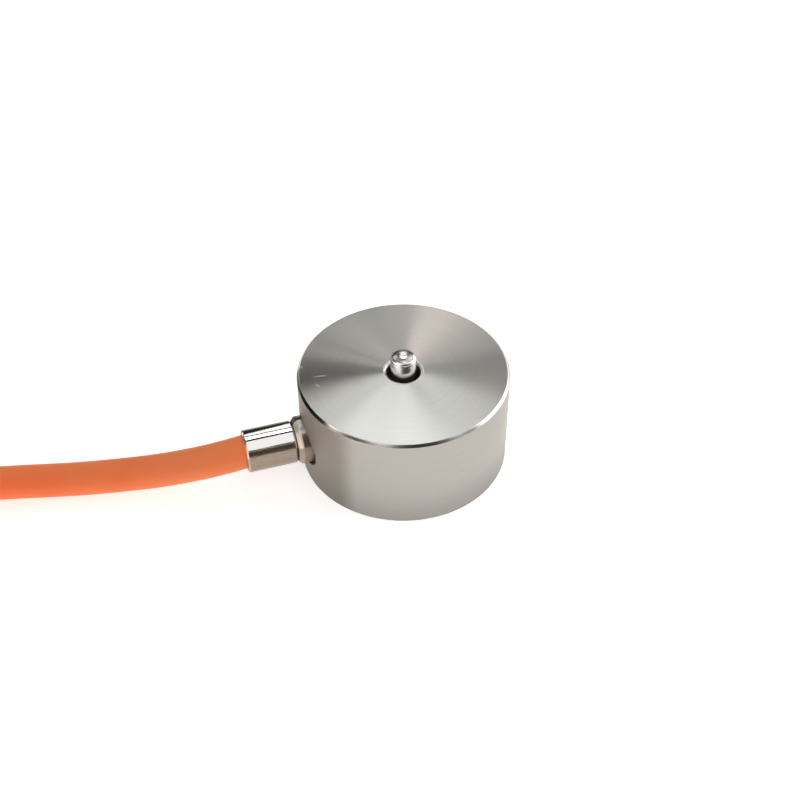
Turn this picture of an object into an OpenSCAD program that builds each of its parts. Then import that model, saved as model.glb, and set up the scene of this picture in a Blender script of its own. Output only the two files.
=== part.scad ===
// Miniature button load cell with a side cable entry and its coiled cable.
// Millimetres. The origin is the centre of the base, +Z is up along the load
// axis, and the cable leaves the housing towards -X.

/* [Housing] */
// Outside diameter of the housing
housing_d = 20; // [19:0.5:26]
// Height of the housing without the button
housing_h = 10; // [9.6:0.1:13]
// Thickness of the side wall
side_wall = 1.2; // [1:0.05:1.4]
// Thickness of the top plate
top_plate = 2; // [1.6:0.1:2.3]
// Bevel around the top edge
top_bevel = 0.24; // [0.1:0.02:0.4]
// Bevel around the bottom edge
base_bevel = 0.12; // [0.05:0.01:0.2]

/* [Load button] */
// Diameter of the load button
button_d = 2.5; // [2.2:0.1:3.2]
// Height of the button's crown above the housing
button_rise = 2; // [1.6:0.1:3]
// Radius of the spherical crown
crown_r = 2.2; // [1.8:0.1:4]
// Rounding between the crown and the side of the button
crown_edge = 0.3; // [0.1:0.05:0.4]
// Gap between the button and the hole in the top plate
button_gap = 0.36; // [0.2:0.02:0.5]
// Bevel around the hole in the top plate
hole_bevel = 0.2; // [0.1:0.02:0.3]

/* [Spring body] */
// Gap between the spring body and the housing's bore
bore_gap = 0.01; // [0.005:0.005:0.03]
// Thickness of the measuring membrane
membrane_t = 0.9; // [0.6:0.05:1.1]
// Room between the membrane and the top plate
membrane_room = 0.9; // [0.6:0.05:1.1]
// Diameter of the gauge cavity below the membrane
cavity_d = 10.4; // [10.2:0.1:10.8]
// Diameter of the stiff hub in the middle of the membrane
hub_d = 4.4; // [4:0.1:4.6]
// How far the hub stands below the membrane
hub_drop = 1.2; // [0.6:0.1:1.6]
// Turned fillet at each root of the membrane
root_fillet = 0.3; // [0.1:0.05:0.35]

/* [Base] */
// Thickness of the bottom cover
cover_t = 0.5; // [0.3:0.05:0.6]
// Diameter of the bottom cover
cover_d = 11.8; // [11.5:0.1:11.9]
// Radial gap around the bottom cover
cover_gap = 0.02; // [0.01:0.01:0.05]
// Depth of the bottom cover below the standing face
cover_set_back = 0.1; // [0.05:0.05:0.2]
// Number of mounting holes
bolt_count = 3; // [2:1:6]
// Tapping diameter of the mounting holes
bolt_hole_d = 2.05; // [1.6:0.05:2.1]
// Diameter of the circle that the mounting holes lie on
bolt_circle_d = 14.5; // [14.3:0.1:14.7]
// Depth of the mounting holes
bolt_depth = 2.4; // [1.8:0.1:2.5]

/* [Strain gauges] */
// Length of a gauge film, along the radius
film_l = 2; // [1.8:0.05:2.1]
// Width of a gauge film
film_w = 1.6; // [1.5:0.05:1.8]
// Thickness of a gauge film
film_t = 0.05; // [0.03:0.01:0.08]
// Thickness of the measuring grid
grid_t = 0.02; // [0.01:0.01:0.04]
// Length of the grid's legs
leg_l = 0.8; // [0.6:0.05:0.9]
// Number of legs in a grid
leg_count = 6; // [6:2:8]
// Spacing of the grid's legs
leg_pitch = 0.16; // [0.12:0.01:0.18]
// Diameter of a gauge's connecting wire
wire_d = 0.14; // [0.1:0.02:0.2]

/* [Terminal board] */
// Thickness of the terminal board
board_t = 0.6; // [0.4:0.05:0.7]
// Diameter of the terminal board
board_d = 11; // [10.9:0.05:11.1]
// Diameter of the board's central opening
board_hole_d = 2; // [1:0.1:3]
// Radial gap around the terminal board
board_gap = 0.05; // [0.02:0.01:0.08]
// Height of the board's upper face
board_top = 2.2; // [2.1:0.05:2.4]
// Thickness of a soldering pad
pad_t = 0.08; // [0.04:0.01:0.12]
// Diameter of a soldering pad
pad_d = 0.7; // [0.65:0.05:0.8]
// Length of a trimming resistor
chip_l = 1; // [0.8:0.1:1.6]
// Width of a trimming resistor
chip_w = 0.5; // [0.4:0.05:0.8]
// Height of a trimming resistor
chip_h = 0.35; // [0.2:0.05:0.45]

/* [Cable entry] */
// Height of the cable entry above the base
entry_z = 3.85; // [3.75:0.05:4.1]
// Diameter of the entry's collar
collar_d = 4.6; // [4.2:0.1:5]
// How far the collar stands out of the housing
collar_out = 0.85; // [0.6:0.05:1.2]
// Bevel around the collar's outer face
collar_bevel = 0.34; // [0.1:0.02:0.4]
// Gap around the collar in its seat
seat_gap = 0.05; // [0.03:0.01:0.08]
// Diameter of the spigot in the housing's side hole
spigot_d = 3; // [2.6:0.1:3.2]
// Gap around the spigot
spigot_gap = 0.01; // [0.005:0.005:0.02]
// Diameter of the stem that the cable's braid is pulled over
stem_d = 2.3; // [2.2:0.05:2.4]
// Length of the stem
stem_l = 2.35; // [1.8:0.05:2.6]
// Depth of the barbs on the stem
barb = 0.1; // [0.05:0.01:0.14]
// Bore for the cores, through the entry
core_bore_d = 1.6; // [1.6:0.01:1.7]

/* [Crimp sleeve] */
// Outside diameter of the crimp sleeve
sleeve_d = 4.1; // [4:0.05:4.6]
// Length of the crimp sleeve
sleeve_l = 4.75; // [4:0.05:6]
// Gap between the sleeve and the collar
sleeve_gap = 0.1; // [0.05:0.01:0.2]
// Bevel at the ends of the sleeve
sleeve_bevel = 0.14; // [0.05:0.01:0.2]
// Gap between the sleeve's bore and the cable
jacket_gap = 0.02; // [0.01:0.01:0.04]

/* [Cable] */
// Diameter of the cable
cable_d = 3.2; // [3:0.1:3.4]
// Diameter of an insulated core
core_d = 0.62; // [0.56:0.01:0.62]
// Gap between neighbouring cores
core_gap = 0.06; // [0.04:0.01:0.06]
// Turns beside each other in the coil
turns_wide = 4; // [2:1:4]
// Turns on top of each other in the coil
turns_high = 4; // [2:2:4]
// Diameter of the coil at the middle of its turns
coil_mid_d = 37.2; // [34:0.2:38]
// Width of a tie around the coil
tie_w = 3; // [2:0.5:5]
// Thickness of a tie
tie_t = 0.3; // [0.2:0.05:0.5]
// Length of the shrink sleeve at the cable's end
shrink_l = 10; // [6:1:14]
// Wall of the shrink sleeve
shrink_wall = 0.4; // [0.2:0.05:0.6]
// Stripped length of each core
strip_l = 4; // [3:0.5:6]

/* [Hidden] */

// Roundness of the turned pieces
round_fn = 96;
small_fn = 32;
// Overlap of a cutting shape beyond the face it cuts
cut = 1;

steel = "#b9b4ad";
polished = "#d5d3cf";
orange = "#e8763f";

// Places that follow from the sizes above
cable_r = cable_d / 2;
housing_r = housing_d / 2;
bore_r = housing_r - side_wall;
body_r = bore_r - bore_gap;
plate_z = housing_h - top_plate;
hole_r = button_d / 2 + button_gap;
membrane_top = plate_z - membrane_room;
membrane_z = membrane_top - membrane_t;
crown_z = housing_h + button_rise;
cavity_r = cavity_d / 2;
hub_r = hub_d / 2;
board_z = board_top - board_t;
cover_top = cover_set_back + cover_t;
film_z = membrane_z - film_t;
grid_z = film_z - grid_t;
film_mid = (hub_r + cavity_r) / 2;
drill_tip = bolt_hole_d / 2 / tan(118 / 2);

// The collar sits on a flat that is milled just past the side's curve
seat_depth = 0.03;
seat_r = collar_d / 2 + seat_gap;
seat_x = sqrt(housing_r * housing_r - seat_r * seat_r) - seat_depth;
collar_x = housing_r + collar_out;
sleeve_x = collar_x + sleeve_gap;
sleeve_bore_r = cable_r + jacket_gap;
// Where the stem, the jacket and the crimp sleeve end
stem_x = collar_x + stem_l;
jacket_x = stem_x + sleeve_gap;
cable_x = sleeve_x + sleeve_l;
// The spigot stops in the housing's wall, short of the spring body
spigot_stop = 0.1;
spigot_x = bore_r + spigot_stop;
barb_from = 0.45;
barb_count = 3;
barb_flat = 0.3;
// Passage of the cores through the spring body, closed with a compound
passage_r = core_bore_d / 2 + 0.15;
seal_gap = 0.01;
seal_in = 0.5;
braid_gap = 0.02;

// The gauges sit between the hub and the ring, at four equal angles
gauge_turns = [45, 135, 225, 315];
chip_turns = [0, 120, 240];
chip_mid = 3.5;
// Soldering tabs of a gauge's grid
tab_l = 0.45;
tab_w = 0.42;
tab_edge = 0.15;
leg_w = leg_pitch / 2;
leg_from = 0.05;
grid_half = (leg_count - 1) * leg_pitch / 2;
tab_side = grid_half + leg_from;
tab_mid = tab_edge + tab_l / 2 - film_l / 2;
// The gauges' wires stand straight at both ends and bow in between
wire_foot_z = board_top + pad_t;
wire_straight = 0.2;
wire_bow = 0.35;
core_side = (core_d + core_gap) / 2;
// Where the lower and the upper cores are soldered, seen from above
core_feet = [[-4.1, 0.5], [-3.6, 1.5]];
core_straight = 0.3;

// Points of the free cable between the sleeve and the coil: how far along X
// from the mouth of the sleeve, how far along Y, and how high
coil_z = tie_t;
lay_z = coil_z + cable_r;
lead_points = [
  [-1.7, 0.05, 3.65], [-4.3, 0.3, 3.3], [-7.8, 1, 2.75], [-11.3, 1.95, 2.25],
  [-15.3, 3.1, 1.8], [-19.3, 4.2, cable_r], [-23.3, 5.1, cable_r], [-30.3, 6.5, cable_r],
  [-37.3, 7.35, cable_r], [-41.3, 7.4, 1.7], [-46.3, 7.4, lay_z], [-53.3, 7.4, lay_z]
];
lead_route = concat([[-jacket_x, 0, entry_z], [-cable_x, 0, entry_z]],
  [for (p = lead_points) [p[0] - cable_x, p[1], p[2]]]);
lead_end = lead_route[len(lead_route) - 1];

// The coil is wound from the bottom outside to the top outside
coil_r = coil_mid_d / 2;
coil_half = turns_wide * cable_r;
coil_h = turns_high * cable_d;
coil_out = coil_r + coil_half;
coil_in = coil_r - coil_half;
coil_centre = [lead_end[0], lead_end[1] + cable_r - coil_out];
coil_top = coil_z + coil_h;
tie_turns = [96, 200, 300];
notch_gap = 0.05;
tie_gap = 0.05;

// Points of the cable's last stretch, which rises out of the outermost turn and
// lies on the coil, clear of the ties: the angle round the coil, how far inwards
// of the outermost turn, and the share of the rise
tail_points = [
  [-45, 0, 0], [-30, 0, 0.26], [-15, 0, 0.74], [0, 0, 1], [15, 0, 1], [30, 0, 1], [45, 0, 1],
  [60, 0.2, 1], [75, 0.7, 1], [90, 1.5, 1], [105, 2.7, 1], [123, 3.3, 1]
];
tail_from = coil_top - cable_r;
end_z = coil_top + max(tie_t + tie_gap, shrink_wall) + tie_gap + cable_r;
tail_route = [for (p = tail_points) let (r = coil_out - cable_r - p[1]) [
  coil_centre[0] + r * cos(p[0]), coil_centre[1] + r * sin(p[0]),
  tail_from + p[2] * (end_z - tail_from)]];
tail_notch = [-49, -3];
tail_gap = 0.3;
// Direction and place of the cable's end, on top of the coil
end_from = tail_route[len(tail_route) - 2];
end_to = tail_route[len(tail_route) - 1];
end_turn = atan2(end_to[1] - end_from[1], end_to[0] - end_from[0]);
end_hold = norm(end_to - end_from);
end_r = cable_r + shrink_wall;
neck_r = core_bore_d / 2 + shrink_wall;
// The loose cores bend to one side and spread as they come to lie on the coil
loose_x = shrink_l + core_straight;
loose_spread = [-2.4, -0.8, 0.8, 2.4];
loose_bend_r = 14;
loose_l = 18;
tip_d = core_d * 0.7;
shield_d = 0.54;

// Puts its children on the axis of the cable entry, with +Z pointing outwards
module on_entry() {
  translate([0, 0, entry_z]) rotate([0, -90, 0]) children();
}

// A closed tube along a list of points, with one flat ring at each point. The
// route never runs along the direction aside, which the rings are turned by.
function unit(v) = v / norm(v);
function ahead(route, i) = unit(route[min(i + 1, len(route) - 1)] - route[max(i - 1, 0)]);
function ring(p, t, r, n, aside) =
  let (s = unit(cross(t, aside)), u = cross(s, t))
  [for (k = [0:n - 1]) p + r * (cos(360 * k / n) * s + sin(360 * k / n) * u)];
module tube(route, r, n = 8, aside = [0, 0, 1]) {
  count = len(route);
  points = [for (i = [0:count - 1]) each ring(route[i], ahead(route, i), r, n, aside)];
  sides = [for (i = [0:count - 2], k = [0:n - 1])
    [i * n + k, i * n + (k + 1) % n, (i + 1) * n + (k + 1) % n, (i + 1) * n + k]];
  first = [for (k = [0:n - 1]) n - 1 - k];
  last = [for (k = [0:n - 1]) (count - 1) * n + k];
  polyhedron(points = points, faces = concat([first, last], sides), convexity = 6);
}

// Cup with the top plate, turned from one bar
module housing() {
  color(steel) difference() {
    rotate_extrude($fn = round_fn) polygon([
      [hole_r, plate_z], [hole_r, housing_h - hole_bevel],
      [hole_r + hole_bevel, housing_h], [housing_r - top_bevel, housing_h],
      [housing_r, housing_h - top_bevel], [housing_r, base_bevel],
      [housing_r - base_bevel, 0], [bore_r, 0], [bore_r, plate_z]
    ]);
    on_entry() translate([0, 0, seat_x]) cylinder(h = housing_r, r = seat_r, $fn = round_fn);
    on_entry() translate([0, 0, bore_r - cut])
      cylinder(h = side_wall + cut, r = spigot_d / 2 + spigot_gap, $fn = round_fn);
  }
}

// Half section of the button: a sphere that rounds over into a straight side
module button_section(r) {
  ball_z = crown_z - crown_r;
  tilt = asin((r - crown_edge) / (crown_r - crown_edge));
  edge_z = ball_z + (crown_r - crown_edge) * cos(tilt);
  reach = 2 * crown_r;
  intersection() {
    translate([0, ball_z]) circle(r = crown_r, $fn = round_fn);
    polygon([[0, edge_z - crown_edge], [r - crown_edge, edge_z - crown_edge],
      [r - crown_edge, edge_z], [reach * sin(tilt), ball_z + reach * cos(tilt)],
      [0, ball_z + reach]]);
  }
  translate([r - crown_edge, edge_z]) circle(r = crown_edge, $fn = small_fn);
  translate([0, membrane_z]) square([r, edge_z - membrane_z]);
}

// Fillet that fills the corner at a point, towards +X or -X and +Z or -Z
module corner_fill(at, f, x_way, z_way) {
  translate(at) difference() {
    translate([x_way < 0 ? -f : 0, z_way < 0 ? -f : 0]) square(f);
    translate([x_way * f, z_way * f]) circle(r = f, $fn = small_fn);
  }
}

// Stiff ring, membrane, hub and load button, turned from one bar
module spring_body() {
  color(polished) difference() {
    rotate_extrude($fn = round_fn) {
      button_section(button_d / 2);
      translate([0, membrane_z - hub_drop]) square([hub_r, hub_drop + membrane_t]);
      translate([0, membrane_z]) square([body_r, membrane_t]);
      difference() {
        translate([cavity_r, 0]) square([body_r - cavity_r, plate_z]);
        translate([0, -cut]) square([cover_d / 2 + cover_gap, cut + cover_top]);
        translate([0, -cut]) square([board_d / 2 + board_gap, cut + board_top]);
      }
      corner_fill([hub_r, membrane_z], root_fillet, 1, -1);
      corner_fill([cavity_r, membrane_z], root_fillet, -1, -1);
      corner_fill([cavity_r, membrane_top], root_fillet, -1, 1);
      corner_fill([button_d / 2, membrane_top], root_fillet, 1, 1);
    }
    on_entry() translate([0, 0, cavity_r - cut])
      cylinder(h = body_r - cavity_r + 2 * cut, r = passage_r, $fn = round_fn);
    for (k = [0:bolt_count - 1]) rotate([0, 0, k * 360 / bolt_count])
      translate([bolt_circle_d / 2, 0, 0]) rotate_extrude($fn = small_fn)
        polygon([[0, -cut], [bolt_hole_d / 2, -cut], [bolt_hole_d / 2, bolt_depth],
          [0, bolt_depth + drill_tip]]);
  }
}

// Thin disc that closes the gauge cavity
module bottom_cover() {
  color(steel) translate([0, 0, cover_set_back])
    cylinder(h = cover_t, r = cover_d / 2, $fn = round_fn);
}

// Carrier film of one gauge, glued under the membrane
module gauge_film(k) {
  color("#c98a2b") rotate([0, 0, gauge_turns[k]])
    translate([film_mid - film_l / 2, -film_w / 2, film_z]) cube([film_l, film_w, film_t]);
}

// Every other gauge has its grid towards the rim, the rest towards the hub
function grid_way(k) = k % 2 == 0 ? 1 : -1;

// Meander of one gauge with its two soldering tabs
module grid_outline() {
  for (i = [0:leg_count - 1])
    translate([leg_from, i * leg_pitch - grid_half - leg_w / 2]) square([leg_l, leg_w]);
  for (i = [0:leg_count - 2])
    translate([leg_from + (i % 2 == 0 ? leg_l - leg_w : 0), i * leg_pitch - grid_half - leg_w / 2])
      square([leg_w, leg_pitch + leg_w]);
  for (way = [-1, 1]) {
    translate([tab_mid, way * grid_half - leg_w / 2]) square([leg_from - tab_mid + leg_w, leg_w]);
    translate([tab_mid - tab_l / 2, way * tab_side - tab_w / 2]) square([tab_l, tab_w]);
  }
}
module gauge_grid(k) {
  color("#a9a08f") rotate([0, 0, gauge_turns[k]]) translate([film_mid, 0, grid_z])
    rotate([0, 0, grid_way(k) > 0 ? 0 : 180]) linear_extrude(grid_t) grid_outline();
}

// Two fine wires from the tabs of one gauge down to the board
module gauge_wires(k) {
  low = wire_foot_z + wire_straight;
  high = grid_z - wire_straight;
  x = film_mid + grid_way(k) * tab_mid;
  color("#b5652a") rotate([0, 0, gauge_turns[k]]) for (y = [-tab_side, tab_side])
    tube(concat([[x, y, wire_foot_z]],
      [for (t = [0:0.125:1])
        [x + wire_bow * sin(360 * t) * sin(180 * t), y, low + t * (high - low)]],
      [[x, y, grid_z]]), wire_d / 2, 6, [0, 1, 0]);
}

// Round board that the gauges and the cable's cores are soldered to
module terminal_board() {
  color("#2f6b3d") translate([0, 0, board_z]) difference() {
    cylinder(h = board_t, r = board_d / 2, $fn = round_fn);
    translate([0, 0, -cut]) cylinder(h = board_t + 2 * cut, r = board_hole_d / 2, $fn = round_fn);
  }
}

// Tinned pads under the gauge wires and under the cores
module pad() {
  cylinder(h = pad_t, r = pad_d / 2, $fn = small_fn);
}
module solder_pads() {
  color("#c9c9cc") translate([0, 0, board_top]) {
    for (k = [0:3], way = [-1, 1]) rotate([0, 0, gauge_turns[k]])
      translate([film_mid + grid_way(k) * tab_mid, way * tab_side]) pad();
    for (foot = core_feet, way = [-1, 1]) translate([foot[0], way * foot[1]]) pad();
  }
}

// Trimming resistor under the board
module trim_resistor(k) {
  color("#3a3a3c") rotate([0, 0, chip_turns[k]])
    translate([chip_mid - chip_l / 2, -chip_w / 2, board_z - chip_h]) cube([chip_l, chip_w, chip_h]);
}

// Turned entry: spigot in the side hole, bevelled collar and barbed stem
module cable_entry() {
  first_barb = collar_x + barb_from;
  barb_step = (stem_x - first_barb) / barb_count;
  color(polished) on_entry() rotate_extrude($fn = round_fn) polygon(concat(
    [[core_bore_d / 2, spigot_x], [spigot_d / 2, spigot_x], [spigot_d / 2, seat_x],
      [collar_d / 2, seat_x], [collar_d / 2, collar_x - collar_bevel],
      [collar_d / 2 - collar_bevel, collar_x], [stem_d / 2, collar_x]],
    [for (i = [0:barb_count - 1], p = [[0, 0], [barb, 0], [0, 1 - barb_flat]])
      [stem_d / 2 + p[0], first_barb + (i + p[1]) * barb_step]],
    [[stem_d / 2, stem_x], [core_bore_d / 2, stem_x]]
  ));
}

// Polished tube that is pressed over the braid and the end of the jacket
module crimp_sleeve() {
  color(polished) on_entry() translate([0, 0, sleeve_x]) rotate_extrude($fn = round_fn)
    polygon([
      [sleeve_bore_r, 0], [sleeve_d / 2 - sleeve_bevel, 0], [sleeve_d / 2, sleeve_bevel],
      [sleeve_d / 2, sleeve_l - sleeve_bevel], [sleeve_d / 2 - sleeve_bevel, sleeve_l],
      [sleeve_bore_r, sleeve_l]
    ]);
}

// Braid of the cable, spread over the stem and held by the sleeve
module clamped_braid() {
  color("#a8a8aa") on_entry() translate([0, 0, sleeve_x]) difference() {
    cylinder(h = jacket_x - sleeve_x, r = cable_r, $fn = round_fn);
    translate([0, 0, -cut])
      cylinder(h = jacket_x - sleeve_x + 2 * cut, r = stem_d / 2 + barb + braid_gap, $fn = round_fn);
  }
}

// Sealing compound around the cores in the wall of the spring body
module entry_seal() {
  color("#55524c") on_entry() translate([0, 0, cavity_r + seal_in]) difference() {
    cylinder(h = body_r - cavity_r - 2 * seal_in, r = passage_r - seal_gap, $fn = round_fn);
    for (y_way = [-1, 1], z_way = [-1, 1])
      translate([z_way * core_side, y_way * core_side, -cut])
        cylinder(h = body_r, r = core_d / 2 + seal_gap, $fn = small_fn);
  }
}

// One core, from the end of the jacket to its pad
module core(y_way, z_way) {
  foot = core_feet[z_way < 0 ? 0 : 1];
  side = y_way * core_side;
  high = entry_z + z_way * core_side;
  low = wire_foot_z + core_straight;
  bend_x = -cavity_r;
  tube(concat([[-jacket_x, side, high]],
    [for (t = [0:15:90]) [
      bend_x + (foot[0] - bend_x) * sin(t),
      side + (y_way * foot[1] - side) * sin(t) * sin(t),
      low + (high - low) * cos(t)
    ]],
    [[foot[0], y_way * foot[1], wire_foot_z]]), core_d / 2, 8, [0, 1, 0]);
}

// Cable between the sleeve and the coil
module cable_lead() {
  color(orange) tube(lead_route, cable_r);
}

// Outer shape of the coil, with a step where each end of the cable leaves it
module cable_coil() {
  corner = cable_r;
  step = cable_d + notch_gap;
  tail_step = cable_d + tail_gap;
  color(orange) translate([coil_centre[0], coil_centre[1], coil_z]) difference() {
    rotate_extrude($fn = round_fn) translate([coil_in, 0]) {
      translate([corner, 0]) square([2 * coil_half - 2 * corner, coil_h]);
      translate([0, corner]) square([2 * coil_half, coil_h - 2 * corner]);
      for (x = [corner, 2 * coil_half - corner], z = [corner, coil_h - corner])
        translate([x, z]) circle(r = corner, $fn = small_fn);
    }
    translate([0, coil_out - step, -cut]) cube([coil_out, step + cut, cut + step]);
    rotate([0, 0, tail_notch[0]])
      rotate_extrude(angle = tail_notch[1] - tail_notch[0], $fn = round_fn)
        translate([coil_out - tail_step, coil_h - tail_step]) square(tail_step + cut);
  }
}

// Cable from the outermost turn to its end on top of the coil
module cable_tail() {
  color(orange) tube(tail_route, cable_r);
}

// Flat tie around the turns of the coil
module coil_tie(k) {
  window_in = sqrt(coil_in * coil_in - tie_w * tie_w / 4) - tie_gap;
  window_w = coil_out + tie_gap - window_in;
  window_h = coil_h + tie_gap;
  color("#2d2d2f") translate([coil_centre[0], coil_centre[1], 0]) rotate([0, 0, tie_turns[k]])
    translate([window_in, tie_w / 2, 0]) rotate([90, 0, 0]) linear_extrude(tie_w) difference() {
      translate([-tie_t, 0]) square([window_w + 2 * tie_t, window_h + 2 * tie_t]);
      translate([0, tie_t]) square([window_w, window_h]);
    }
}

// Puts its children at the end of the jacket, with +X along the cable
module on_end() {
  translate([end_from[0], end_from[1], 0]) rotate([0, 0, end_turn]) children();
}

// Shrink sleeve that closes the end of the jacket and narrows over the cores
module end_shrink() {
  color("#2b2b2d") on_end() translate([0, 0, end_z]) rotate([0, 90, 0])
    rotate_extrude($fn = round_fn) polygon([
      [sleeve_bore_r, 0], [end_r, 0], [end_r, end_hold],
      [neck_r, end_hold + cable_r], [neck_r, shrink_l], [core_bore_d / 2, shrink_l],
      [core_bore_d / 2, end_hold], [sleeve_bore_r, end_hold]
    ]);
}

// Path of one loose core: round a bend, outwards to its place beside the others
// and down onto the coil
function bent(s, y, z) = let (turn = s / loose_bend_r * 180 / PI) [
  loose_x + (loose_bend_r - y) * sin(turn), loose_bend_r - (loose_bend_r - y) * cos(turn), z];
function settle(t) = let (c = min(1, 2 * t)) c * c * (3 - 2 * c);
function loose_route(y0, z0, y1, z1) = [for (t = [0:0.1:1])
  bent(loose_l * t, y0 + (y1 - y0) * sin(90 * t), z0 + (z1 - z0) * settle(t))];
module loose_core(y_way, z_way, spread) {
  y0 = y_way * core_side;
  z0 = end_z + z_way * core_side;
  z1 = coil_top + core_d / 2;
  on_end() tube(concat([[end_hold, y0, z0]], loose_route(y0, z0, spread, z1)), core_d / 2);
}
module end_shield() {
  z0 = end_z - (core_bore_d / 2 + neck_r) / 2;
  z1 = coil_top + shield_d / 2;
  color("#a8a8aa") on_end()
    tube(concat([[shrink_l, 0, z0]], loose_route(0, z0, 0, z1)), shield_d / 2);
}

// Tinned wire ends of the four loose cores
module tinned_tips() {
  color("#c9c9cc") on_end() for (y = loose_spread) {
    route = loose_route(0, end_z, y, coil_top + core_d / 2);
    tip = route[len(route) - 1];
    way = ahead(route, len(route) - 1);
    translate(tip) rotate([0, 0, atan2(way[1], way[0])]) rotate([0, 90, 0])
      cylinder(h = strip_l, r = tip_d / 2, $fn = small_fn);
  }
}

housing();
spring_body();
bottom_cover();
for (k = [0:3]) {
  gauge_film(k);
  gauge_grid(k);
  gauge_wires(k);
}
terminal_board();
solder_pads();
for (k = [0:2])
  trim_resistor(k);
cable_entry();
crimp_sleeve();
clamped_braid();
entry_seal();
color("#b8342c") core(1, 1);  // core_red
color("#26262a") core(-1, 1);  // core_black
color("#2f7d4a") core(1, -1);  // core_green
color("#e4e2dc") core(-1, -1);  // core_white
cable_lead();
cable_coil();
cable_tail();
for (k = [0:2])
  coil_tie(k);
end_shrink();
color("#b8342c") loose_core(1, 1, loose_spread[3]);  // end_red
color("#26262a") loose_core(-1, 1, loose_spread[0]);  // end_black
color("#2f7d4a") loose_core(1, -1, loose_spread[2]);  // end_green
color("#e4e2dc") loose_core(-1, -1, loose_spread[1]);  // end_white
end_shield();
tinned_tips();
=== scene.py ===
"""Miniature load cell with its cable, dressed for a studio picture. Metres, +Z up along the load axis."""
import math

import bmesh
import bpy
import numpy as np
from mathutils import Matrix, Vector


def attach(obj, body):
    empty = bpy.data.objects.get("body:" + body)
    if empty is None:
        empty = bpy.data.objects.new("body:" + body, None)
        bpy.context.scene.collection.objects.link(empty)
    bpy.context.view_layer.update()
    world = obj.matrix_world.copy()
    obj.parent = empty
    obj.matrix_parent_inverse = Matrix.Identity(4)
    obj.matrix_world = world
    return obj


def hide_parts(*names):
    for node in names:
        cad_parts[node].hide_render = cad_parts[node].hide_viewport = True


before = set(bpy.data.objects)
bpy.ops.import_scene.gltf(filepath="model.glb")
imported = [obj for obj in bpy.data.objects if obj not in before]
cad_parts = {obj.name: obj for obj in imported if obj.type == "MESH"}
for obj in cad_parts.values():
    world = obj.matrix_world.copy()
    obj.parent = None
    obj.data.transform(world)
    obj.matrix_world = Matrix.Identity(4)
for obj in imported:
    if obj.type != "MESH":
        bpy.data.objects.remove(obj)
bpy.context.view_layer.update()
MM = 0.001

# Sizes of the housing and the cable entry, in millimetres

HOUSING_R, HOUSING_H, BEVEL, BORE_R, LIP = 10.0, 10.0, 0.24, 1.61, 0.2
SEAT_Y, SEAT_Z, SEAT_X = 3.0, 2.0, 9.4
ENTRY_Z = 3.85


# Camera of the photograph

def photo_camera():
    """The camera solved from the housing's outlines in the photograph."""
    camera = bpy.data.objects.new("photo_camera", bpy.data.cameras.new("photo_camera"))
    bpy.context.collection.objects.link(camera)
    camera.data.sensor_width = 36
    camera.data.lens = 56.177
    camera.data.clip_start, camera.data.clip_end = 0.005, 20
    camera.location = (-0.0250576, -0.0829947, 0.0884553)
    camera.rotation_euler = [math.radians(a) for a in (46.4927, 0.3233, -16.8822)]
    bpy.context.scene.camera = camera


# Meshes from grids of points

def mesh_piece(name, points, faces, sharp=30):
    """A piece from points in millimetres and faces. Doubles are merged, so poles close, and faces point
    outwards."""
    mesh = bpy.data.meshes.new(name)
    mesh.from_pydata((np.asarray(points) * MM).tolist(), [], faces)
    shell = bmesh.new()
    shell.from_mesh(mesh)
    bmesh.ops.remove_doubles(shell, verts=shell.verts, dist=1e-8)
    bmesh.ops.recalc_face_normals(shell, faces=shell.faces)
    shell.to_mesh(mesh)
    shell.free()
    mesh.shade_smooth()
    mesh.set_sharp_from_angle(angle=math.radians(sharp))
    piece = bpy.data.objects.new(name, mesh)
    bpy.context.collection.objects.link(piece)
    return piece


def grid_faces(rows, columns, start=0, loop=False):
    """Quads between neighbouring rows of a grid whose columns close on themselves. With loop, the last row
    meets the first."""
    spans = rows if loop else rows - 1
    row, column = np.meshgrid(np.arange(spans), np.arange(columns), indexing="ij")
    after, beside = (row + 1) % rows, (column + 1) % columns
    corners = [row * columns + column, row * columns + beside,
               after * columns + beside, after * columns + column]
    return (np.stack(corners, -1).reshape(-1, 4) + start).tolist()


def rounded(corners, steps=4, closed=False):
    """A profile of (across, along, radius) corners. Each corner with a radius becomes an arc between its two
    tangent points, centred where the two sides, moved inwards by the radius, meet. One more point on each side,
    a fifth of the corner's reach beyond the arc, keeps the shading of the flats even."""
    margin = 0.2
    points = []
    count = len(corners)
    for i, (x, y, radius) in enumerate(corners):
        here = np.array([x, y])
        if not radius or (not closed and i in (0, count - 1)):
            points.append(here)
            continue
        back = np.array(corners[i - 1][:2]) - here
        ahead = np.array(corners[(i + 1) % count][:2]) - here
        back, ahead = back / np.linalg.norm(back), ahead / np.linalg.norm(ahead)
        half = math.acos(np.clip(back @ ahead, -1, 1)) / 2
        reach = radius / math.tan(half)
        middle = here + (back + ahead) / np.linalg.norm(back + ahead) * radius / math.sin(half)
        first, last = here + back * reach - middle, here + ahead * reach - middle
        turn = math.atan2(first[0] * last[1] - first[1] * last[0], first @ last)
        points.append(middle + first + back * reach * margin)
        for share in np.linspace(0, 1, steps + 1):
            c, s = math.cos(turn * share), math.sin(turn * share)
            points.append(middle + np.array([c * first[0] - s * first[1], s * first[0] + c * first[1]]))
        points.append(middle + last + ahead * reach * margin)
    return np.array(points)


def turned(profile, angles, origin=(0, 0, 0), axis=(0, 0, 1), start=(1, 0, 0)):
    """Points of a turned surface: each profile point (r, h) becomes origin + h along axis + r around it."""
    axis, start = np.array(axis, float), np.array(start, float)
    side = np.cross(axis, start)
    spokes = np.cos(angles)[:, None] * start + np.sin(angles)[:, None] * side
    r, h = profile[:, 0, None, None], profile[:, 1, None, None]
    return np.array(origin, float) + h * axis + r * spokes[None]


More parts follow.
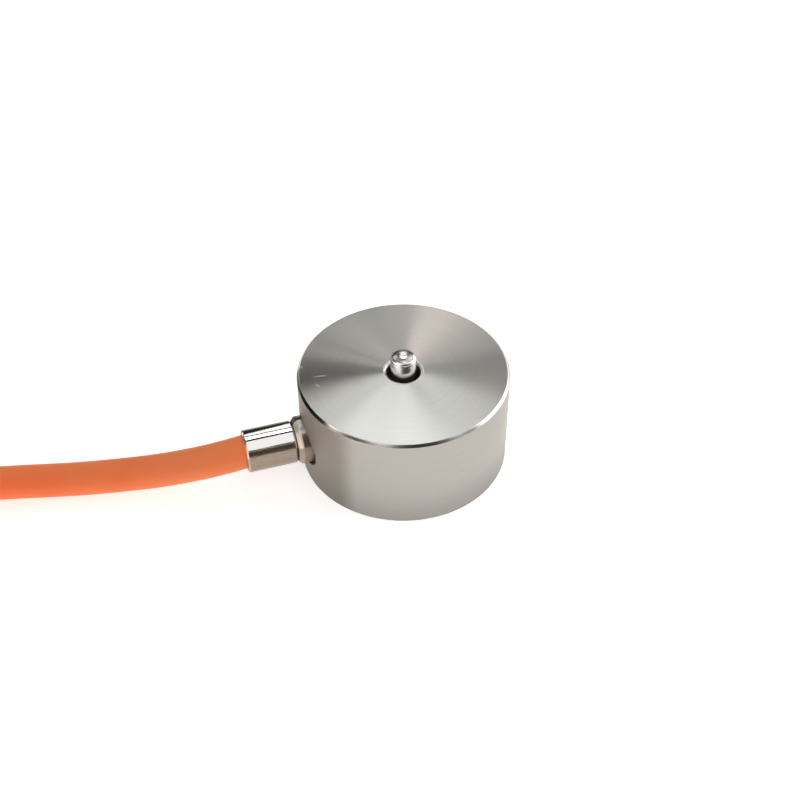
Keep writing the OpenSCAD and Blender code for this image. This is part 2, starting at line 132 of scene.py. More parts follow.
def turned_piece(name, profile, segments=128, closed=False, sharp=30, **place):
    """A whole turned piece. A closed profile gives a ring, an open one starts and ends on its own axis."""
    angles = np.linspace(0, 2 * math.pi, segments, endpoint=False)
    points = turned(profile, angles, **place)
    return mesh_piece(name, points.reshape(-1, 3), grid_faces(len(profile), segments, loop=closed), sharp)


def frames_along(path):
    """Tangent, side and up at each point of a path. The side is level where it can be."""
    path = np.asarray(path, float)
    ahead = np.gradient(path, axis=0)
    ahead /= np.linalg.norm(ahead, axis=1)[:, None]
    side = np.cross(ahead, [0, 0, 1.0])
    side /= np.linalg.norm(side, axis=1)[:, None]
    return ahead, side, np.cross(side, ahead)


def swept(path, section):
    """Rings of a section (across, up) carried along a path; section may change from ring to ring."""
    ahead, side, up = frames_along(path)
    section = np.broadcast_to(section, (len(path),) + np.shape(section)[-2:])
    across = section[..., 0, None] * side[:, None]
    return np.asarray(path)[:, None] + across + section[..., 1, None] * up[:, None]


def circle(radius, sides):
    """Points (across, up) of a circle."""
    turn = np.linspace(0, 2 * math.pi, sides, endpoint=False)
    return np.stack([radius * np.cos(turn), radius * np.sin(turn)], -1)


def capped(rings):
    """Points and faces of a tube with a flat cap at both ends."""
    rows, columns = rings.shape[:2]
    first = list(range(columns))[::-1]
    last = [(rows - 1) * columns + i for i in range(columns)]
    return rings.reshape(-1, 3), grid_faces(rows, columns) + [first, last]


def joined(parts):
    """The points and faces of several parts as one."""
    points, faces = [], []
    for more_points, more_faces in parts:
        start = sum(map(len, points))
        faces += [[i + start for i in face] for face in more_faces]
        points.append(more_points)
    return np.vstack(points), faces


def smooth_path(points, per_span=8):
    """A curve through the points: each span is a cubic, and the slope at each point is half the step between its
    neighbours."""
    points = np.asarray(points, float)
    before = np.vstack([2 * points[0] - points[1], points[:-1]])
    after = np.vstack([points[1:], 2 * points[-1] - points[-2]])
    slope = (after - before) / 2
    t = np.linspace(0, 1, per_span, endpoint=False)[:, None]
    from_first, to_second = 2 * t**3 - 3 * t**2 + 1, 3 * t**2 - 2 * t**3
    leaving, arriving = t**3 - 2 * t**2 + t, t**3 - t**2
    spans = [from_first * a + leaving * u + to_second * b + arriving * v
             for a, b, u, v in zip(points[:-1], points[1:], slope[:-1], slope[1:])]
    return np.vstack(spans + [points[-1:]])


# The cable's route, in millimetres as in the part's source

CABLE_R, FLOOR_GAP = 1.6, 0.001
LEAD = [(-13.3, 0, 3.85), (-15.7, 0, 3.85), (-17.4, 0.05, 3.65), (-20, 0.3, 3.3), (-23.5, 1, 2.75),
        (-27, 1.95, 2.25), (-31, 3.1, 1.8), (-35, 4.2, 1.6), (-39, 5.1, 1.6), (-46, 6.5, 1.6),
        (-53, 7.35, 1.6), (-57, 7.4, 1.7), (-62, 7.4, 1.9), (-69, 7.4, 1.9)]
# The last stretch: angle round the coil in degrees, distance from the coil's middle, and height
TAIL = [(-45, 23.4, 11.5), (-30, 23.4, 12.45), (-15, 23.4, 14.2), (0, 23.4, 15.15), (15, 23.4, 15.15),
        (30, 23.4, 15.15), (45, 23.4, 15.15), (60, 23.2, 15.15), (75, 22.7, 15.15), (90, 21.9, 15.15),
        (105, 20.7, 15.15), (123, 20.1, 15.15)]
TAIL_SPAN = 8
COIL_X, COIL_Y, COIL_START = -69.0, -16.0, 90.0
TURN_R = (23.4, 20.2, 17.0, 13.8)
LAYER_Z = (1.9, 5.1, 8.3, 11.5)
# Degrees of a turn between which it moves to the place of the next one, and how far it bulges there
STEP_FROM, STEP_TO, BULGE = 222.0, 356.0, 1.1


def round_coil(degrees, radius, height):
    """Places given by their angle round the coil, distance from its middle and height."""
    turn = np.radians(degrees)
    return np.stack([COIL_X + radius * np.cos(turn), COIL_Y + radius * np.sin(turn), height], -1)


def coil_path(per_turn=72):
    """Turns counter-clockwise from the north, up to where the last one rises out of the coil. Between two of the
    ties, each turn moves to the place of the next one on a smooth step: in or out by a diameter, or up by one and
    round the two turns beside it, on a bulge of the sine squared."""
    lay = [(r, z) for k, z in enumerate(LAYER_Z) for r in (TURN_R if k % 2 == 0 else TURN_R[::-1])]
    lay = np.array(lay + [lay[-1]])
    turn = np.arange(len(lay) - 1)[:, None] + np.linspace(0, 1, per_turn, endpoint=False)[None]
    turn = turn[turn < len(lay) - 1 - (COIL_START - TAIL[0][0]) / 360]
    whole, part = turn.astype(int), turn % 1
    share = np.clip((part * 360 - STEP_FROM) / (STEP_TO - STEP_FROM), 0, 1)[:, None]
    step = share**3 * (10 - 15 * share + 6 * share * share)
    here = lay[whole] * (1 - step) + lay[whole + 1] * step
    middle_r = sum(TURN_R) / len(TURN_R)
    rises = (lay[whole + 1, 1] > lay[whole, 1]) * np.sign(here[:, 0] - middle_r)
    radius = here[:, 0] + rises * BULGE * np.sin(math.pi * share[:, 0]) ** 2
    return round_coil(turn * 360 + COIL_START, radius, here[:, 1])


def cable_curve():
    """The whole cable as one round curve, with the points of its path. The tail gets one more point before its
    first, level with it, for its slope there, and the span between them is left out. The path stays a hair above
    the floor."""
    before = (2 * TAIL[0][0] - TAIL[1][0], *TAIL[0][1:])
    tail = smooth_path(round_coil(*np.array([before] + TAIL).T), TAIL_SPAN)[TAIL_SPAN:]
    path = np.vstack([smooth_path(LEAD)[:-1], coil_path(), tail])
    path[:, 2] = np.maximum(path[:, 2], CABLE_R + FLOOR_GAP)
    data = bpy.data.curves.new("cable", "CURVE")
    data.dimensions = "3D"
    data.bevel_depth = CABLE_R * MM
    data.bevel_resolution = 10
    data.use_fill_caps = True
    spline = data.splines.new("POLY")
    spline.points.add(len(path) - 1)
    spline.points.foreach_set("co", np.hstack([path * MM, np.ones((len(path), 1))]).ravel())
    spline.use_smooth = True
    cable = bpy.data.objects.new("cable", data)
    bpy.context.collection.objects.link(cable)
    return cable, path


# Shader maths

class Signal:
    """A socket of a material. Arithmetic on it adds Math nodes, and node() adds any other node."""

    def __init__(self, tree, socket=None):
        self.tree, self.socket = tree, socket

    def node(self, kind, settings=(), inputs=(), output=0):
        """A new node with these settings, whose inputs are set to numbers or linked to other signals."""
        made = self.tree.nodes.new(kind)
        for name, value in dict(settings).items():
            setattr(made, name, value)
        for name, value in dict(inputs).items():
            if isinstance(value, Signal):
                self.tree.links.new(value.socket, made.inputs[name])
            else:
                made.inputs[name].default_value = value
        return Signal(self.tree, made.outputs[output])

    def math(self, operation, *values):
        """A Math node on this signal and the further values."""
        return self.node("ShaderNodeMath", {"operation": operation}, dict(enumerate((self, *values))))

    def __add__(self, other):
        return self.math("ADD", other)

    def __sub__(self, other):
        return self.math("SUBTRACT", other)

    def __rsub__(self, other):
        return self.node("ShaderNodeMath", {"operation": "SUBTRACT"}, {0: other, 1: self})

    def __mul__(self, other):
        return self.math("MULTIPLY", other)

    def __truediv__(self, other):
        return self.math("DIVIDE", other)

    __radd__, __rmul__ = __add__, __mul__


def hypotenuse(a, b):
    """The root of the sum of two squares."""
    return (a * a + b * b).math("SQRT")


def step_up(value, low, high):
    """0 below low, 1 above high, smooth in between."""
    return value.node("ShaderNodeMapRange", {"interpolation_type": "SMOOTHSTEP"},
                      {"Value": value, "From Min": low, "From Max": high, "To Min": 0.0, "To Max": 1.0})


def blend(mask, first, second):
    """Colour that goes from first to second with the mask."""
    as_colour = [c if isinstance(c, Signal) else (*c, 1) for c in (first, second)]
    return mask.node("ShaderNodeMix", {"data_type": "RGBA"}, {0: mask, 6: as_colour[0], 7: as_colour[1]}, 2)


def scaled(place, scale):
    """A vector or colour times a number."""
    return place.node("ShaderNodeVectorMath", {"operation": "SCALE"}, {0: place, "Scale": scale})


def place_of(base):
    """Object coordinates in millimetres."""
    return scaled(base.node("ShaderNodeTexCoord", output=3), 1000.0)


def parts_of(place):
    """The three numbers of a vector."""
    return [place.node("ShaderNodeSeparateXYZ", inputs={0: place}, output=i) for i in range(3)]


def vector(x, y, z):
    """A vector of three values, one of which at least is a signal."""
    known = next(v for v in (x, y, z) if isinstance(v, Signal))
    return known.node("ShaderNodeCombineXYZ", inputs={0: x, 1: y, 2: z})


def noise(at, scale=1.0, detail=2.0, roughness=0.5):
    """Noise from 0 to 1, with scale waves to the millimetre."""
    return at.node("ShaderNodeTexNoise",
                   inputs={"Vector": at, "Scale": scale, "Detail": detail, "Roughness": roughness})


def bump(height, distance, strength=1.0):
    """A normal for the shader from a height."""
    return height.node("ShaderNodeBump",
                       inputs={"Height": height, "Distance": distance, "Strength": strength})


def finish(name, recipe, **constants):
    """A material: constants are set on the shader's own sockets, and the recipe returns what varies."""
    material = bpy.data.materials.new(name)
    material.use_nodes = True
    shader = material.node_tree.nodes["Principled BSDF"]
    for key, value in constants.items():
        shader.inputs[key.replace("_", " ").title().replace("Ior", "IOR")].default_value = value
    for key, value in recipe(Signal(material.node_tree)).items():
        material.node_tree.links.new(value.socket, shader.inputs[key])
    return material


# Finishes

def towards(x, y, r, degrees):
    """Cosine of the angle round the load axis between a place and a direction."""
    turn = math.radians(degrees)
    return (x * math.cos(turn) + y * math.sin(turn)) / r


def scratch(x, y, start, end, half):
    """A line from start to end: 1 in the middle, 0 from its half width on, and fading towards both ends. The
    place along the line is the dot product with its direction, and the distance from it the cross product."""
    length = math.dist(start, end)
    way_x, way_y = (end[0] - start[0]) / length, (end[1] - start[1]) / length
    off_x, off_y = x - start[0], y - start[1]
    along = off_x * way_x + off_y * way_y
    aside = (off_x * way_y - off_y * way_x).math("ABSOLUTE")
    taper = step_up(along, 0, length / 2) * step_up(length - along, 0, length / 2)
    return (1 - step_up(aside, half * 0.3, half)) * taper


# Scratches on the top plate: start, end and half width
SCRATCHES = (((-8.5, 1.62), (-6.95, 1.43), 0.12), ((-8.45, 0.7), (-8.1, 0.15), 0.09),
             ((-9.15, 3.45), (-8.95, 3.1), 0.07))


def turned_steel(name, wall_tone_and_painted_shade, face_tone_and_painted_reflection, lean):
    """Fine turning marks run round the load axis. Their spacing follows the way along the profile, radius plus
    height. Across the flat face the long flanks of the marks lean outwards, so the height under the bump falls
    with the radius. The edge's bevel is polished, with a painted dark reflection at the cable's side, the lip of
    the bore is bright, and the face has a few small scratches. A painted shade gives the wall its second tone
    round the cable entry and darkens it towards its foot; the face's own second tone, on the far right, is a
    painted reflection."""
    entry_at, painted_dark_bevel_at, far_right_at = 199, 185, 45
    bevel_at = HOUSING_R + HOUSING_H - BEVEL
    bare = (0.9, 0.89, 0.87)

    def recipe(base):
        x, y, z = parts_of(place_of(base))
        r = hypotenuse(x, y)
        along = r + z
        marks = noise(vector(along * 9.0, x / r * 0.6, y / r * 0.6), 1.0, 6.0, 0.7)
        fine = noise(vector(along * 55.0, x / r * 3.0, y / r * 3.0), 1.0, 3.0, 0.6)
        face = step_up(z, HOUSING_H - 0.1, HOUSING_H - 0.05)
        lip = 1 - step_up(r, BORE_R + 0.21, BORE_R + 0.29)
        bevel = step_up(along, bevel_at - 0.04, bevel_at - 0.01) * step_up(HOUSING_H - 0.01 - z, 0.0, 0.01)
        # A painted dark reflection on the bevel at the cable's side.
        painted_dark_bevel = bevel * step_up(towards(x, y, r, painted_dark_bevel_at), 0.89, 0.94)
        scratches = sum(scratch(x, y, *line) for line in SCRATCHES) * face
        # The wall's second tone, round the cable entry, is a painted shade.
        side = blend(step_up(towards(x, y, r, entry_at), 0.87, 0.97), *wall_tone_and_painted_shade)
        # The face's second tone, on the far right, is a painted reflection.
        top = blend(step_up(towards(x, y, r, far_right_at), 0.75, 0.98), *face_tone_and_painted_reflection)
        colour = blend((scratches + lip).math("MINIMUM", 1.0), blend(face, side, top), bare)
        streaks = 0.94 + 0.12 * step_up(marks * 0.6 + fine * 0.4, 0.25, 0.75)
        # Painted shade: the wall darkens towards its foot.
        painted_foot_shade = 0.72 + 0.28 * step_up(z, -1.0, 5.0)
        bore_or_lip = lip * (0.2 - step_up(z, HOUSING_H - 0.15, HOUSING_H - 0.1) * 0.32)
        rough = 0.33 + marks * 0.08 - bevel * 0.22 + bore_or_lip + scratches * 0.35
        height = marks * 0.001 + fine * 0.0004 + scratches * 0.03 - r * math.tan(math.radians(lean))
        return {"Base Color": scaled(colour, streaks * painted_foot_shade * (1 - painted_dark_bevel * 0.86)), "Roughness": rough,
                "Normal": bump(height, 0.001)}
    return finish(name, recipe, metallic=1.0, anisotropic=1.0)


def polished_steel(name, tone, tint):
    """Bright steel with a faint haze and grain. The rear of the crown has a painted dark reflection, but not its
    middle.
    """
    painted_rear_reflection_at, painted_rear_reflection_tone = 78, (0.17, 0.165, 0.155)
    dark, light = [c * tone * 0.95 for c in tint], [c * tone * 1.05 for c in tint]

    def recipe(base):
        here = place_of(base)
        x, y, z = parts_of(here)
        r = hypotenuse(x, y)
        haze = noise(here, 0.7, 3.0)
        grain = noise(here, 14.0, 4.0, 0.6)
        # A painted dark reflection on the rear of the crown.
        painted_back_reflection = step_up(towards(x, y, r, painted_rear_reflection_at), -0.15, 0.35)
        painted_rear_reflection = painted_back_reflection * step_up(r, 0.45, 0.85) * step_up(z, 11.0, 11.3)
        return {"Base Color": blend(painted_rear_reflection, blend(haze, dark, light), painted_rear_reflection_tone),
                "Roughness": 0.2 + haze * 0.08, "Normal": bump(grain, 0.000004, 0.3)}
    return finish(name, recipe, metallic=1.0, anisotropic=0.9)


def nickel_with_painted_light(name, rough, back_edge, low_edge, painted_low_tone, rim_x):
    """Polished where fingers reach, with painted shade on the underside, a painted dark reflection in a band
    along the back, a painted highlight at the outer end from rim_x on, and a painted reflection of the shaded
    floor in a low band. The sine and cosine of the angle round the entry's axis, roughened by a noise, part the
    tones: the low tone begins under the sine low_edge, and the band at the cosine back_edge."""
    # The second of these tones is the painted highlight's, the third the painted dark reflection's.
    clean, warm, dark = (0.74, 0.735, 0.72), (0.93, 0.87, 0.76), (0.07, 0.063, 0.053)

    def recipe(base):
        here = place_of(base)
        x, y, z = parts_of(here)
        up = z - ENTRY_Z
        r = hypotenuse(y, up)
        patch = noise(here, 1.6, 4.0, 0.6)
        mottle = noise(here, 4.5, 4.0, 0.75)
        ragged = (mottle - 0.5) * 0.16
        sine, cosine = up / r + ragged, y / r + ragged
        # Painted shade: the underside takes the darker mottled tones below.
        under = 1 - step_up(sine, 0.34, 0.42)
        # A painted reflection of the shaded floor in a low band.
        low = 1 - step_up(sine, low_edge, low_edge + 0.07)
        # A painted dark reflection in a band along the back.
        painted_back_reflection = step_up(cosine, back_edge, back_edge + 0.07) * (1 - step_up(cosine, 0.74, 0.82))
        # A painted highlight at the outer end.
        painted_end_highlight = step_up(0 - x, rim_x, rim_x + 0.08)
        underside = blend(mottle, (0.24, 0.19, 0.15), (0.42, 0.345, 0.27))
        colour = blend(low * (1 - under), clean, blend(mottle, [c * 0.8 for c in painted_low_tone], painted_low_tone))
        colour = blend(painted_end_highlight * (1 - under * 0.7), blend(under, colour, underside), warm)
        return {"Base Color": blend(painted_back_reflection, colour, dark),
                "Roughness": rough + low * (0.10 + mottle * 0.16) + painted_end_highlight * 0.2,
                "Normal": bump(patch * 0.3 + mottle * low, 0.00002, 0.5)}
    return finish(name, recipe, metallic=1.0)


def cable_jacket():
    """Extruded jacket: a soft orange that is a little deeper in patches, with a fine even grain."""
    def recipe(base):
        here = place_of(base)
        patch = noise(here, 0.12, 2.0)
        grain = noise(here, 5.0, 4.0, 0.6)
        return {"Base Color": blend(step_up(patch, 0.3, 0.7), (0.98, 0.24, 0.078), (1.0, 0.28, 0.098)),
                "Roughness": 0.5 + grain * 0.14, "Normal": bump(grain, 0.00003, 0.35)}
    return finish("cable_jacket", recipe, specular_ior_level=0.3)


def plain_plastic(name, colour, rough=0.4, grain_scale=6.0, change=0.1):
    """Plastic, lacquer or compound whose colour changes a little in patches, with a fine grain."""
    dark, light = [c * (1 - change) for c in colour], [min(1, c * (1 + change)) for c in colour]

    def recipe(base):
        here = place_of(base)
        grain = noise(here, grain_scale, 4.0, 0.6)
        return {"Base Color": blend(noise(here, 0.4, 2.0), dark, light),
                "Roughness": rough - 0.06 + grain * 0.12, "Normal": bump(grain, 0.00002, 0.3)}
    return finish(name, recipe)


def plain_metal(name, colour, rough=0.3, grain_scale=20.0):
    """Metal of foils, wires and pads, with a fine grain in its colour and roughness."""
    dark, light = [c * 0.9 for c in colour], [min(1, c * 1.1) for c in colour]

    def recipe(base):
        grain = noise(place_of(base), grain_scale, 4.0, 0.6)
        return {"Base Color": blend(grain, dark, light), "Roughness": rough - 0.08 + grain * 0.16,
                "Normal": bump(grain, 0.00001, 0.3)}
    return finish(name, recipe, metallic=1.0)


def wear(piece, material):
    """The piece takes the material in place of what it had."""
    piece.data.materials.clear()
    piece.data.materials.append(material)


def stands_for(piece, slot, material, *nodes):
    """The piece takes the material, rides on the body and hides the CAD nodes that it stands for. The slot is not
    used."""
    wear(piece, material)
    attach(piece, "root")
    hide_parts(*nodes)
    return piece


photo_camera()

# The low tones are painted reflections of the shaded floor.
sleeve_nickel = nickel_with_painted_light("sleeve_nickel", rough=0.06, back_edge=0.30, low_edge=0.62,
                                 painted_low_tone=(0.8, 0.64, 0.46), rim_x=15.5)
collar_nickel = nickel_with_painted_light("collar_nickel", rough=0.30, back_edge=0.12, low_edge=0.80,
                                 painted_low_tone=(0.22, 0.17, 0.12), rim_x=10.3)
jacket = cable_jacket()
# The second wall tone is a painted shade and the second face tone a painted reflection.
housing_steel = turned_steel("turned_steel", wall_tone_and_painted_shade=((0.475, 0.455, 0.42), (0.30, 0.275, 0.235)),
                             face_tone_and_painted_reflection=((0.70, 0.70, 0.665), (0.74, 0.69, 0.64)), lean=8.0)
button_steel = polished_steel("polished_steel", tone=0.82, tint=(1.0, 0.99, 0.97))
black_tie = plain_plastic("black_tie", (0.02, 0.02, 0.022), 0.5, 8.0, 0.2)
black_rubber = plain_plastic("shrink_sleeve", (0.016, 0.016, 0.017), 0.45, 3.0, 0.2)
tinned = plain_metal("tinned_wire", (0.62, 0.61, 0.60), 0.3)
core_colours = {"red": (0.55, 0.03, 0.02), "black": (0.02, 0.02, 0.022), "green": (0.02, 0.26, 0.07),
                "white": (0.75, 0.74, 0.70)}
insulation = {name: plain_plastic("insulation_" + name, colour, 0.3) for name, colour in core_colours.items()}

cable, cable_path = cable_curve()
stands_for(cable, "cable_jacket", jacket, "cable_lead", "cable_coil", "cable_tail")


# The coil's ties

TIES_AT = (96, 200, 300)


def tie_band(index, degrees):
    """A flat band on a rounded rectangle round the coil's section. Its own section is a row of places across its
    width, each with its depth inside that outline, and has blunt edges."""
    inner_x, outer_x, top_z, corner_r = 11.757, 25.35, 13.45, 1.9
    half, flat, thick, blunt = 1.5, 1.42, 0.3, 0.05
    outline = rounded([(inner_x, 0, corner_r), (outer_x, 0, corner_r), (outer_x, top_z, corner_r),
                       (inner_x, top_z, corner_r)], 8, True)
    step = np.roll(outline, -1, 0) - np.roll(outline, 1, 0)
    inward = np.stack([-step[:, 1], step[:, 0]], -1)
    inward /= np.linalg.norm(inward, axis=1)[:, None]
    inward *= np.sign(((outline.mean(0) - outline) * inward).sum(1))[:, None]
    section = [(-half, blunt), (-flat, 0), (flat, 0), (half, blunt),
               (half, thick - blunt), (flat, thick), (-flat, thick), (-half, thick - blunt)]
    turn = math.radians(degrees)
    out, side = np.array([math.cos(turn), math.sin(turn), 0]), np.array([-math.sin(turn), math.cos(turn), 0])
    up, middle = np.array([0, 0, 1.0]), np.array([COIL_X, COIL_Y, 0])
    rings = []
    for shift, depth in section:
        line = outline + inward * depth
        rings.append(middle + line[:, :1] * out + shift * side + line[:, 1:] * up)
    faces = grid_faces(len(section), len(outline), loop=True)
    return mesh_piece(f"coil_band_{index}", np.array(rings).reshape(-1, 3), faces)


bands = [stands_for(tie_band(i, degrees), "tie", black_tie, f"coil_tie_{i}")
         for i, degrees in enumerate(TIES_AT, 1)]


# The cable's bare end. Its last stretch is straight, from END_FROM to END_TO

END_FROM, END_TO = round_coil(*np.array(TAIL[-2:]).T)[:, :2]
END_Z, COIL_TOP = TAIL[-1][2], 13.1
END_TURN = math.atan2(*(END_TO - END_FROM)[::-1])
END_HOLD = float(np.linalg.norm(END_TO - END_FROM))
SHRINK_L, BEND_R, LOOSE_L, LOOSE_X = 10.0, 14.0, 18.0, 10.3
CORE_R, SHIELD_R, TIP_R, STRIP_L = 0.31, 0.27, 0.217, 4.0
CORE_AT, SHIELD_BELOW = 0.34, 1.0
# Each core's place in the cable, to its side and up, and the side way at its end
CORES = {"red": (1, 1, 2.4), "black": (-1, 1, -2.4), "green": (1, -1, 0.8), "white": (-1, -1, -0.8)}


def at_end(points):
    """Points given along the cable's end are turned into place."""
    points = np.asarray(points, float)
    c, s = math.cos(END_TURN), math.sin(END_TURN)
    return np.stack([END_FROM[0] + c * points[..., 0] - s * points[..., 1],
                     END_FROM[1] + s * points[..., 0] + c * points[..., 1], points[..., 2]], -1)


def loose_path(y0, z0, y1, z1, start):
    """Round the bend: outwards by the spread on a quarter sine, and down onto the coil on a smooth step."""
    t = np.linspace(0, 1, 31)
    settle = np.minimum(1, 2 * t)
    y, z = y0 + (y1 - y0) * np.sin(t * math.pi / 2), z0 + (z1 - z0) * settle**2 * (3 - 2 * settle)
    turn = LOOSE_L * t / BEND_R
    path = np.stack([LOOSE_X + (BEND_R - y) * np.sin(turn), BEND_R - (BEND_R - y) * np.cos(turn), z], -1)
    return at_end(np.vstack([[start, y0, z0], path]))


def end_sleeve():
    """Shrink sleeve over the jacket's end that draws in to a neck beyond it, with a bore for the cores."""
    inner_r, outer_r, neck_r, bore_r, waist_r = 1.62, 2.0, 1.2, 0.8, 1.2
    neck_x = END_HOLD + 1.6
    profile = rounded([(inner_r, 0, 0.05), (outer_r, 0, 0.1), (outer_r, END_HOLD, waist_r),
                       (neck_r, neck_x, waist_r), (neck_r, SHRINK_L, 0.1), (bore_r, SHRINK_L, 0.05),
                       (bore_r, END_HOLD, 0.02), (inner_r, END_HOLD, 0.02)], 8, True)
    direction = (math.cos(END_TURN), math.sin(END_TURN), 0)
    return turned_piece("end_sleeve", profile, 64, True, 50, origin=(*END_FROM, END_Z), axis=direction,
                        start=(0, 0, 1))


def stranded(path, radius, strands=7, lay=4.0, sides=6):
    """A bundle: one straight strand, and the others round it on helices with the given lay, each a third of the
    width."""
    ahead, side, up = frames_along(path)
    length = np.concatenate([[0], np.cumsum(np.linalg.norm(np.diff(path, axis=0), axis=1))])
    parts = []
    for k in range(strands):
        turn = 2 * math.pi * (length / lay + k / (strands - 1))
        off = radius * 2 / 3 * (k > 0)
        line = path + off * (np.cos(turn)[:, None] * side + np.sin(turn)[:, None] * up)
        parts.append(capped(swept(line, circle(radius / 3, sides))))
    return joined(parts)


end_pieces = [stands_for(end_sleeve(), "shrink_sleeve", black_rubber, "end_shrink")]
tips = []
for name, (y_way, z_way, spread) in CORES.items():
    path = loose_path(y_way * CORE_AT, END_Z + z_way * CORE_AT, spread, COIL_TOP + CORE_R, END_HOLD)
    core = mesh_piece("loose_core_" + name, *capped(swept(path, circle(CORE_R, 16))), 50)
    end_pieces.append(stands_for(core, "core_" + name, insulation[name], "end_" + name))
    way = (path[-1] - path[-2]) / np.linalg.norm(path[-1] - path[-2])
    tips.append(path[-1] + np.linspace(0, STRIP_L, 24)[:, None] * way)
tip_strands = mesh_piece("tinned_strands", *joined(stranded(tip, TIP_R) for tip in tips), 50)
end_pieces.append(stands_for(tip_strands, "solder", tinned, "tinned_tips"))
shield_path = smooth_path(loose_path(0, END_Z - SHIELD_BELOW, 0, COIL_TOP + SHIELD_R, SHRINK_L), 3)
shield = mesh_piece("twisted_shield", *stranded(shield_path, SHIELD_R, lay=3.0), 50)
end_pieces.append(stands_for(shield, "braid", tinned, "end_shield"))


# Housing

def housing_cup():
    """The cup's section turned round the load axis, in steps of half a degree round the cable entry. There the
    wall is cut back to a flat oval seat, on a smooth step of the oval's own measure, which is 1 at its edge."""
    inner_r, ceiling, lip_r, foot_bevel, soft = 8.8, 8.0, 0.22, 0.12, 0.02
    wall = [(HOUSING_R, z, 0) for z in np.arange(6.45, 1.2, -0.06)]
    profile = rounded([(BORE_R, ceiling, 0.02), (BORE_R, HOUSING_H - LIP, lip_r),
                       (BORE_R + LIP, HOUSING_H, lip_r), (HOUSING_R - BEVEL, HOUSING_H, 0.03),
                       (HOUSING_R, HOUSING_H - BEVEL, 0.03)] + wall
                      + [(HOUSING_R, foot_bevel, 0.03), (HOUSING_R - foot_bevel, 0, 0.03), (inner_r, 0, 0.02),
                         (inner_r, ceiling, 0.1)], 4, True)
    coarse = np.radians(np.linspace(-158.5, 158.5, 212))
    near = np.radians(np.arange(159, 201, 0.5))
    points = turned(profile, np.concatenate([coarse, near]))
    x, y, z = points[..., 0], points[..., 1], points[..., 2]
    oval = np.hypot(y / SEAT_Y, (z - ENTRY_Z) / SEAT_Z)
    cut = np.clip((1 + soft - oval) / (2 * soft), 0, 1)
    cut = cut * cut * (3 - 2 * cut)
    outside = (x < -SEAT_X) & (oval < 1 + soft)
    points[..., 0] = np.where(outside, x + cut * (-SEAT_X - x), x)
    faces = grid_faces(len(profile), points.shape[1], loop=True)
    return mesh_piece("housing_cup", points.reshape(-1, 3), faces)


stands_for(housing_cup(), "turned_steel", housing_steel, "housing")


# Spring body with the load button

def arc(x, y, radius, start, end, steps):
    """Points of an arc about (x, y), angles in degrees."""
    turn = np.radians(np.linspace(start, end, steps))
    return np.stack([x + radius * np.cos(turn), y + radius * np.sin(turn)], -1)


def spring_body():
    """Crown, button, membrane, ring and hub turned in one, then drilled from below. The crown's arc and the
    edge's arc meet where their tangents agree."""
    crown_r, edge_r, button_r, top = 2.0, 0.55, 1.2, 12.02
    tilt = math.degrees(math.asin((button_r - edge_r) / (crown_r - edge_r)))
    edge_z = top - crown_r + (crown_r - edge_r) * math.cos(math.radians(tilt))
    crown = arc(0, top - crown_r, crown_r, 90, 90 - tilt, 24)
    edge = arc(button_r - edge_r, edge_z, edge_r, 90 - tilt, 0, 12)[1:]
    film_top, film_low, root_r = 7.1, 6.2, 0.3
    ring_r, ring_in, ring_top = 8.79, 5.2, 8.0
    cover_r, cover_top, board_r, board_top = 5.82, 0.6, 5.55, 2.2
    hub_r, hub_low = 2.2, 5.0
    rest = rounded([(button_r, edge_z, 0), (button_r, film_top, root_r), (ring_in, film_top, root_r),
                    (ring_in, ring_top, 0.05), (ring_r, ring_top, 0.05), (ring_r, 0, 0.04), (cover_r, 0, 0.03),
                    (cover_r, cover_top, 0.02), (board_r, cover_top, 0.02), (board_r, board_top, 0.02),
                    (ring_in, board_top, 0.02), (ring_in, film_low, root_r), (hub_r, film_low, root_r),
                    (hub_r, hub_low, 0.08), (0, hub_low, 0)], 6)
    piece = turned_piece("spring_and_button", np.vstack([crown, edge, rest[1:]]), 144)
    drill_r, drill_l, tip_l, holes_r = 1.025, 2.4, 0.616, 7.25
    outline = np.array([(0, -1), (drill_r, -1), (drill_r, drill_l), (0, drill_l + tip_l)])
    drills = []
    for k in range(3):
        turn = 2 * math.pi * k / 3
        drill = turned_piece(f"drill_{k}", outline, 48,
                             origin=(holes_r * math.cos(turn), holes_r * math.sin(turn), 0))
        hole = piece.modifiers.new("hole", "BOOLEAN")
        hole.object, hole.solver = drill, "EXACT"
        drills.append(drill)
    drilled = bpy.data.meshes.new_from_object(piece.evaluated_get(bpy.context.evaluated_depsgraph_get()))
    piece.modifiers.clear()
    piece.data = drilled
    for drill in drills:
        bpy.data.objects.remove(drill)
    return piece


stands_for(spring_body(), "polished_steel", button_steel, "spring_body")


# Cable entry and crimp sleeve, on the axis of the entry

ON_ENTRY = {"origin": (0, 0, ENTRY_Z), "axis": (-1, 0, 0), "start": (0, 0, 1)}


